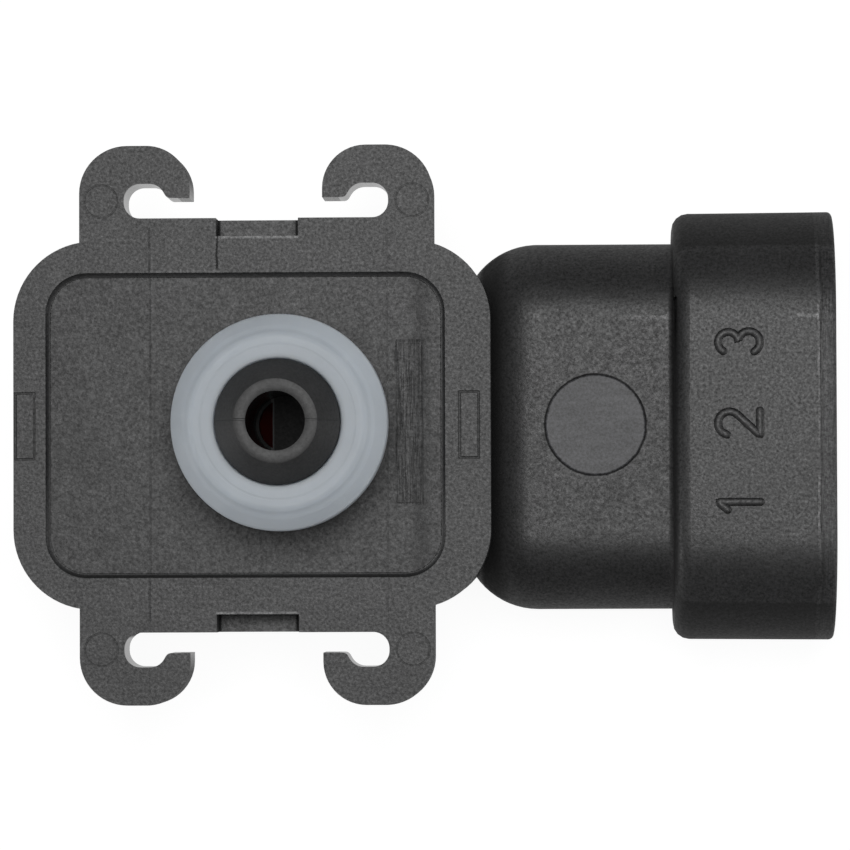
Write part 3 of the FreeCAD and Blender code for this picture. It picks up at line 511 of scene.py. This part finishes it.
def shape_neck(finish, wander, pad):
    """The neck's rounding and fillet with painted shade, a painted highlight along the upper side and
    painted shade on the shroud's back rim.

    Both heights are parabolas: the neck falls over 3 mm towards the tub and rises over half a
    millimetre to the shroud. Past y = 7 mm the skin leans away: its height falls by a parabola
    for 5 mm and goes on as a straight slope.
    """
    x, y, z = finish.x, finish.y, finish.z
    beside_tub = x.rise(15.5, 16.0) * z.rise(11, 13)
    on_neck = x.fall(SHROUD_BACK - 0.25, SHROUD_BACK + 0.05)
    to_shroud = x.ramp(SHROUD_BACK - 0.45, SHROUD_BACK + 0.05)
    past = finish.math("MAXIMUM", y - 7.0, 0.0)
    over = finish.math("MINIMUM", past, 5.0)
    crease_highlight = finish.line(y + wander * 0.2, 8.75, 0.3) * z.rise(15.0, 15.5)
    crease_highlight = crease_highlight * (x.rise(26, 31) * on_neck + x.rise(40.5, 41.5) * x.fall(42.8, 43.0))
    outside = abs(y).rise(15.0, 15.4) * x.fall(SHROUD_BACK + 0.05, SHROUD_BACK + 0.15)
    corner = to_shroud * z.fall(17.1, 17.4) * (1 - outside)
    rim = x.within(31.2, 31.6, 0.2) * z.rise(17.2, 17.5)
    # painted shade where the neck meets the tub, beside the flange's edge
    finish.mark(x.fall(16.8, 18.4) * beside_tub, tone=-0.85, rough=0.3)
    finish.mark((1 - x.ramp(16.5, 19.6)) ** 2 * beside_tub, height=-0.36)
    finish.mark(to_shroud ** 2, height=0.26)
    finish.mark(over * (past * 2 - over), height=-0.0105)
    finish.mark(on_neck * (1 - pad), rough=0.012)
    # painted highlight along the upper side of neck and shroud
    finish.mark(crease_highlight, tone=1, rough=-0.07)
    # painted shade in the fillet between neck and shroud
    finish.mark(corner * corner, tone=-0.7)
    finish.mark(corner, rough=0.1)
    # painted shade on the shroud's back rim
    finish.mark(rim, tone=-0.7, rough=0.16)


def finish_case():
    """The case: grain with its marks, and the pad's paler grey over it."""
    finish = Moulding("case_grain", strength=1.08, rough=MATT)
    wander = finish.noise(0.4, detail=3, lift=4)
    pad, streaks = polish_pad(finish, wander)
    brush_mouth(finish, wander)
    shape_neck(finish, wander, pad)
    black = finish.shade(PLASTIC, finish.tone)
    pale = finish.shade(PAD_GREY, 0.5 + streaks + finish.speckle * 0.9)
    return finish.done(finish.mix(black, pale, pad))


case_plastic = finish_case()
print("case plastic:", len(case_plastic.node_tree.nodes), "nodes")

# %% [markdown]
# ## The case with soft edges
# The shroud's back rim is rounded by more than a millimetre, which shows as a soft dark to light
# band beside the neck, and the rim of its mouth by less than a third of that. The solid's rims are
# sharper, so the case is welded into one mesh and a Bevel modifier rounds the chosen edges.


# %% Weld and round the case
def welded_copy(node, name):
    """One closed mesh from a solid's separate faces, with flat areas joined."""
    form = bmesh.new()
    form.from_mesh(solids[node].data)
    bmesh.ops.remove_doubles(form, verts=form.verts, dist=2e-6)
    bmesh.ops.dissolve_limit(form, angle_limit=math.radians(0.4), verts=form.verts, edges=form.edges)
    for face in form.faces:
        face.smooth = True
    mesh = bpy.data.meshes.new(name)
    form.to_mesh(mesh)
    form.free()
    if "custom_normal" in mesh.attributes:
        mesh.attributes.remove(mesh.attributes["custom_normal"])
    piece = bpy.data.objects.new(name, mesh)
    bpy.context.scene.collection.objects.link(piece)
    return piece


def round_edges(piece, share, width, steps=4):
    """Rounds sharp edges by a Bevel modifier; share gives each spot its part of the width."""
    form = bmesh.new()
    form.from_mesh(piece.data)
    weights = form.edges.layers.float.get("bevel_weight_edge")
    weights = weights or form.edges.layers.float.new("bevel_weight_edge")
    count = 0
    for edge in form.edges:
        sharp = len(edge.link_faces) == 2 and edge.calc_face_angle() > math.radians(25)
        part = min(share(v.co / MM) for v in edge.verts)
        if sharp and part > 0:
            edge[weights] = part
            count += 1
    form.to_mesh(piece.data)
    form.free()
    bevel = piece.modifiers.new("rounding", "BEVEL")
    bevel.limit_method = "WEIGHT"
    bevel.width = width * MM
    bevel.segments = steps
    bevel.use_clamp_overlap = True
    bevel.harden_normals = False
    return count


OVAL_REACH = 8.65
OVAL_HEIGHT = 10.5
RIM_ROUNDING = 1.3
MOUTH_SHARE = 0.3


def rim_share(spot):
    """1 on the shroud's back rim, less than a third on its mouth, 0 elsewhere.

    The shroud is an oval: the distance to the line between its two centres tells outside edges.
    """
    beyond = max(abs(spot.y) - OVAL_REACH, 0)
    outside = math.hypot(beyond, spot.z - OVAL_HEIGHT) > 7.9
    if not outside:
        return 0
    return 1.0 if abs(spot.x - SHROUD_BACK) < 0.1 else MOUTH_SHARE if spot.x > 44.1 else 0


case = welded_copy("housing", "case_moulding")
rounded = round_edges(case, rim_share, RIM_ROUNDING)
case.data.set_sharp_from_angle(angle=math.radians(28))
case.data.materials.append(case_plastic)
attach(case, "root")
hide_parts("housing")
print("case:", len(case.data.polygons), "faces,", rounded, "rounded edges")

# %% [markdown]
# ## The port seal
# The seal is moulded silicone. Its ribs are soft, so each corner of its section becomes an arc, and
# the section is turned once round the nozzle. Light enters silicone a little before it returns,
# which gives the pale blue-grey its depth.


# %% Turn the seal
def rounded_section(corners, steps=7):
    """Closed section through corners (r, z, rounding), each corner an arc.

    The arc of radius t touches both sides at t / tan(a / 2) from the corner, a being its angle.
    """
    spots = np.array([c[:2] for c in corners], float)
    points = []
    for i, (_, _, rounding) in enumerate(corners):
        here, back, ahead = spots[i], spots[i - 1], spots[(i + 1) % len(spots)]
        one = (back - here) / np.linalg.norm(back - here)
        two = (ahead - here) / np.linalg.norm(ahead - here)
        if rounding <= 0:
            points.append(here[None])
            continue
        half = math.acos(np.clip(one @ two, -1, 1)) / 2
        centre = here + (one + two) / np.linalg.norm(one + two) * rounding / math.sin(half)
        start, end = (here + side * rounding / math.tan(half) - centre for side in (one, two))
        turn = np.linspace(0, 1, steps)[:, None]
        blend = start * (1 - turn) + end * turn
        points.append(centre + blend / np.linalg.norm(blend, axis=1)[:, None] * rounding)
    return np.concatenate(points)


def turned(name, section, count=192):
    """A closed ring: the section's (r, z) at x = r cos a, y = r sin a, for a once round."""
    angle = np.linspace(0, 2 * np.pi, count, endpoint=False)[:, None]
    r, z = section[None, :, 0], section[None, :, 1]
    grid = np.stack([r * np.cos(angle), r * np.sin(angle), z + 0 * angle], axis=-1)
    rows, columns = grid.shape[:2]
    i, j = np.meshgrid(np.arange(rows), np.arange(columns), indexing="ij")
    i2, j2 = (i + 1) % rows, (j + 1) % columns
    quads = np.stack([i * columns + j, i2 * columns + j, i2 * columns + j2, i * columns + j2], -1)
    return solid_mesh(name, grid.reshape(-1, 3) * MM, quads.reshape(-1, 4))


def solid_mesh(name, points, faces):
    """A smooth mesh object at the origin, facing outward."""
    mesh = bpy.data.meshes.new(name)
    mesh.from_pydata(points.tolist(), [], faces.tolist())
    form = bmesh.new()
    form.from_mesh(mesh)
    bmesh.ops.recalc_face_normals(form, faces=form.faces)
    form.to_mesh(mesh)
    form.free()
    mesh.polygons.foreach_set("use_smooth", np.ones(len(mesh.polygons), bool))
    piece = bpy.data.objects.new(name, mesh)
    bpy.context.scene.collection.objects.link(piece)
    return piece


# Corners of the seal's section: radius, height over its foot, rounding.
SEAL_CORNERS = [
    (4.3, 0.0, 0), (8.35, 0.0, 0.3), (8.35, 3.0, 0.4), (7.3, 3.65, 0.3), (7.3, 4.5, 0.3),
    (8.57, 5.2, 0.35), (8.57, 7.5, 0.6), (7.65, 8.75, 0.8), (6.9, 9.6, 0.75),
    (4.97, 9.6, 0.2), (4.97, 8.9, 0), (4.3, 8.9, 0),
]
SILICONE = (0.335, 0.365, 0.395, 1)


def finish_silicone():
    """Satin silicone with the faint rings of its mould, a shoulder made paler by painted light, most
    to the right, top and bottom, and painted shade round its mouth.
    """
    finish = Finish("seal_silicone_satin", Subsurface_Weight=0.6, Subsurface_Scale=0.0018)
    finish.shader.inputs["Subsurface Radius"].default_value = (1.0, 1.05, 1.15)
    clouds = finish.noise(0.35, detail=3)
    rings = finish.line(finish.radius(), 7.25, 0.24) + finish.line(finish.radius(), 6.1, 0.16)
    # painted light: the shoulder lighter by side, more to the right and towards top and bottom
    shoulder = finish.radius().rise(6.6, 7.6) * (0.05 + abs(finish.y) * 0.035 + finish.x * 0.013)
    # painted shade round the seal's mouth, beside the nozzle
    mouth = finish.radius().fall(4.9, 5.5)
    tone = 0.97 + clouds * 0.16 - rings * 0.04 + shoulder - mouth * 0.3
    finish.feed(finish.shader.inputs["Base Color"], finish.shade(SILICONE, tone))
    finish.feed(finish.shader.inputs["Roughness"], 0.5 + clouds * 0.1)
    finish.relief(finish.noise(2.4, detail=3) * 0.01 - rings * 0.01)
    return finish.material


section = rounded_section([(r, z + RECESS_FLOOR, soft) for r, z, soft in SEAL_CORNERS])
seal = turned("port_seal_ring", section)
seal.data.materials.append(finish_silicone())
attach(seal, "root")
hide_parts("port_seal")
print("seal:", len(section), "points round its section,", len(seal.data.polygons), "faces")

# %% [markdown]
# ## Numbers of the terminals
# Raised numbers on the shroud say which terminal is which. The mould maker engraves such figures
# with a round cutter, so each stroke is a low ridge of one width along a line with round ends.


# %% Sweep the numbers
def arc(x, y, radius, start, end, count=14):
    """Points on an arc, angles in degrees."""
    angle = np.radians(np.linspace(start, end, count))
    return np.stack([x + radius * np.cos(angle), y + radius * np.sin(angle)], -1)


def ridge(path, width, height, rounds=7):
    """A low half-round ridge along a path (x, y), closed by round ends.

    Along the path the section is (w sin u, h cos u) for u from -90 to 90 degrees; at the ends
    it shrinks to a point over its own width.
    """
    step = np.linalg.norm(np.diff(path, axis=0), axis=1)
    run = np.concatenate([[0], np.cumsum(step)])
    count = max(12, int(run[-1] / 0.12))
    caps = 1 - np.cos(np.linspace(0, np.pi / 2, 6))
    even = np.linspace(0, run[-1], count)
    line = np.stack([np.interp(even, run, path[:, k]) for k in (0, 1)], -1)
    ahead = np.gradient(line, axis=0)
    ahead /= np.linalg.norm(ahead, axis=1)[:, None]
    start = line[0] - ahead[0] * width * (1 - caps[:-1, None])
    end = line[-1] + ahead[-1] * width * (1 - caps[:-1, None])[::-1]
    line = np.concatenate([start, line, end])
    ahead = np.concatenate([np.repeat(ahead[:1], 5, 0), ahead, np.repeat(ahead[-1:], 5, 0)])
    shrink = np.sqrt(1 - (1 - caps[:-1]) ** 2)
    scale = np.concatenate([shrink, np.ones(count), shrink[::-1]])[:, None]
    side = np.stack([-ahead[:, 1], ahead[:, 0]], -1)
    turn = np.linspace(-np.pi / 2, np.pi / 2, rounds)
    across = np.sin(turn)[None] * width * scale
    flat = line[:, None] + side[:, None] * across[..., None]
    lift = np.cos(turn)[None] * height * scale
    points = np.concatenate([flat, lift[..., None]], -1)
    rows, columns = points.shape[:2]
    i, j = np.meshgrid(np.arange(rows - 1), np.arange(columns - 1), indexing="ij")
    quads = np.stack([i * columns + j, (i + 1) * columns + j,
                      (i + 1) * columns + j + 1, i * columns + j + 1], -1)
    return points.reshape(-1, 3), quads.reshape(-1, 4)


STROKES = {
    1: [np.array([[-0.35, 0.75], [0.15, 1.35], [0.15, -1.35]])],
    2: [np.concatenate([arc(0, 0.6, 0.75, 165, -35, 16), [[-0.78, -1.35], [0.8, -1.35]]])],
    3: [np.concatenate([arc(0, 0.66, 0.66, 150, -90, 16), arc(0, -0.66, 0.7, 90, -150, 16)[1:]])],
}


FIGURE_PLACES = {1: -6.5, 2: 0.0, 3: 6.5}
FIGURE_LINE = 36.45
FIGURE_SCALE = 1.25
SINK = 0.012
SHROUD_TOP = 19.25
SHROUD_DRAFT = math.radians(0.4)


def shroud_skin(x):
    """Height of the shroud's flat top, which rises towards its mouth by its draft."""
    return SHROUD_TOP + (x - SHROUD_BACK) * math.tan(SHROUD_DRAFT)


points, faces = [], []
for figure, y in FIGURE_PLACES.items():
    for stroke in STROKES[figure]:
        spots, quads = ridge(stroke * FIGURE_SCALE, width=0.34, height=0.22)
        x = FIGURE_LINE - spots[:, 1]
        z = spots[:, 2] + shroud_skin(x) - SINK
        faces.append(quads + sum(len(p) for p in points))
        points.append(np.stack([x, y + spots[:, 0], z], -1))
figures = solid_mesh("terminal_numbers", np.concatenate(points) * MM, np.concatenate(faces))
figures.data.materials.append(case_plastic)
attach(figures, "root")
print("numbers:", len(figures.data.polygons), "faces")

# %% [markdown]
# ## The terminals and what lies inside
# The blades are stamped brass with a tin plate, which is soft and bright with fine drawing lines.
# Inside, a ceramic board carries the chip parts, and a red gel covers the silicon die: it is the
# dark red that shows in the port.


# %% Finish the terminals and the inner pieces
def plain_finish(name, colour, roughness, metal=0.0, fineness=3.0, depth=0.01, mottle=0.2,
                 stretch=(1, 1, 1), **constants):
    """A finish with soft mottle and a shallow relief."""
    finish = Finish(name, Metallic=metal, **constants)
    mottled = finish.noise(fineness, detail=3, stretch=stretch)
    finish.feed(finish.shader.inputs["Base Color"],
                finish.shade(colour, 1 - mottle / 2 + mottled * mottle))
    finish.feed(finish.shader.inputs["Roughness"], roughness - 0.05 + mottled * 0.1)
    finish.relief(mottled * depth)
    return finish.material


tin = plain_finish("tin_plate", (0.62, 0.61, 0.58), 0.3, metal=1.0, fineness=2.5, depth=0.006,
                   stretch=(0.15, 3, 3))
resin = plain_finish("cured_resin", (0.03, 0.03, 0.032), 0.25, fineness=0.8, depth=0.05)
ceramic = plain_finish("fired_alumina", (0.68, 0.66, 0.6), 0.55, fineness=5)
glass = plain_finish("pedestal_glass", (0.6, 0.68, 0.66), 0.1, depth=0.0, mottle=0.05)
silicon = plain_finish("polished_silicon", (0.13, 0.14, 0.17), 0.15, depth=0.001, mottle=0.08)
ring_plastic = plain_finish("cell_ring_plastic", (0.02, 0.02, 0.02), 0.6)
rubber = plain_finish("gasket_rubber", (0.03, 0.03, 0.03), 0.7, fineness=6)
aluminium = plain_finish("ribbon_aluminium", (0.8, 0.8, 0.8), 0.25, metal=1.0, fineness=8, depth=0.002)
gel = plain_finish("sensor_gel", (0.09, 0.0015, 0.001), 0.6, fineness=0.5, depth=0.02,
                   Specular_IOR_Level=0.1)
chip = plain_finish("chip_plastic", (0.025, 0.025, 0.025), 0.6, fineness=9)
tan = plain_finish("capacitor_ceramic", (0.36, 0.25, 0.16), 0.4, fineness=6)
glaze = plain_finish("resistor_glaze", (0.02, 0.02, 0.022), 0.2, fineness=6)
solder = plain_finish("solder", (0.6, 0.6, 0.6), 0.2, metal=1.0, fineness=2, depth=0.03)

INNER = {
    "cover_adhesive": resin, "board_adhesive": resin, "terminal_sealant": resin,
    "circuit_board": ceramic, "die_pedestal": glass, "pressure_die": silicon,
    "cell_ring": ring_plastic, "cell_gasket": rubber, "bond_ribbons": aluminium,
    "protective_gel": gel, "signal_chip": chip,
    "capacitor_1": tan, "capacitor_2": tan, "capacitor_3": tan,
    "resistor_1": glaze, "resistor_2": glaze,
    "terminal_1": tin, "terminal_2": tin, "terminal_3": tin,
    "solder_1": solder, "solder_2": solder, "solder_3": solder,
}
for node, material in INNER.items():
    dress(node, material)
print("finished solids:", len(INNER))

# %% [markdown]
# ## The table, the lamps and the camera
# The sensor lies on a white table under one large soft lamp, and the camera looks down on it from
# about 40 centimetres, so the nozzle leans slightly away from the middle of the picture.
# Two weak lamps stand low at the left and before the mouth, where they reach the upright sides.
# The table is white to the camera and dimmer in reflections, and it takes the sensor's shadow,
# faint.


# %% Table
TABLE_GLOW = 0.93
TABLE_IN_GLOSS = 0.42
TABLE_GAP = 0.0001


def white_table():
    """A table that is white to the eye and still takes a faint shadow.

    What is seen of it glows and takes a little light. What lights the sensor is plain pale grey.
    """
    finish = Finish("white_table")
    tree = finish.tree
    path = finish.put("ShaderNodeLightPath").outputs
    gloss = Value(finish, path["Is Glossy Ray"]) * TABLE_IN_GLOSS
    seen = Value(finish, path["Is Camera Ray"]) + gloss
    seen = seen + Value(finish, path["Is Transmission Ray"])
    glow = finish.put("ShaderNodeEmission", {}, {"Color": (1, 1, 1, 1), "Strength": TABLE_GLOW})
    faint = finish.put("ShaderNodeBsdfDiffuse", {}, {"Color": (0.12, 0.12, 0.12, 1)})
    both = finish.put("ShaderNodeAddShader", {}, {0: glow.outputs[0], 1: faint.outputs[0]})
    plain = finish.put("ShaderNodeBsdfDiffuse", {}, {"Color": (0.2, 0.2, 0.2, 1)})
    share = finish.math("MINIMUM", seen, 1.0)
    mixed = finish.put("ShaderNodeMixShader", {},
                       {0: share, 1: plain.outputs[0], 2: both.outputs[0]})
    output = tree.nodes["Material Output"]
    tree.links.new(mixed.outputs[0], output.inputs["Surface"])
    tree.nodes.remove(finish.shader)
    return finish.material


bpy.ops.mesh.primitive_plane_add(size=6, location=(0, 0, -TABLE_GAP))
table = bpy.context.object
table.name = "table"
table.data.materials.append(white_table())
print("table:", tuple(round(side, 2) for side in table.dimensions[:2]), "m")


# %% Lamps and world
def soft_lamp(name, place, aim, size, power):
    """A square soft lamp that points at a spot."""
    light = bpy.data.lights.new(name, "AREA")
    light.size = size
    light.energy = power
    lamp = bpy.data.objects.new(name, light)
    bpy.context.scene.collection.objects.link(lamp)
    lamp.location = place
    lamp.rotation_euler = (Vector(aim) - Vector(place)).to_track_quat("-Z", "Y").to_euler()
    return lamp


middle = (0.011, 0, 0.01)
soft_lamp("overhead_lamp", place=(0.02, 0.075, 0.5), aim=middle, size=0.24, power=1.95)
soft_lamp("left_lamp", place=(-0.34, -0.1, 0.1), aim=middle, size=0.16, power=0.4)
soft_lamp("mouth_lamp", place=(0.4, -0.04, 0.1), aim=middle, size=0.16, power=0.4)

world = bpy.data.worlds.new("studio")
bpy.context.scene.world = world
world.use_nodes = True
background = world.node_tree.nodes["Background"]
background.inputs["Color"].default_value = (1, 1, 1, 1)
background.inputs["Strength"].default_value = 0.05

# %% Camera
camera = bpy.data.objects.new("camera", bpy.data.cameras.new("camera"))
bpy.context.scene.collection.objects.link(camera)
bpy.context.scene.camera = camera
camera.data.sensor_width = 36
camera.data.lens = 211.76
camera.data.clip_start = 0.01
camera.data.clip_end = 20
eye = Vector((0.02370, -0.01087, 0.4205))
target = Vector((0.011304, -0.000072, 0.0205))
picture_up = Vector((0.0035, 1, 0))
ahead = (target - eye).normalized()
right = ahead.cross(picture_up).normalized()
up = right.cross(ahead)
turn = Matrix((right, up, -ahead)).transposed()
camera.matrix_world = Matrix.Translation(eye) @ turn.to_4x4()
bpy.context.scene.view_settings.view_transform = "Standard"
print("camera at", [round(v, 4) for v in eye])
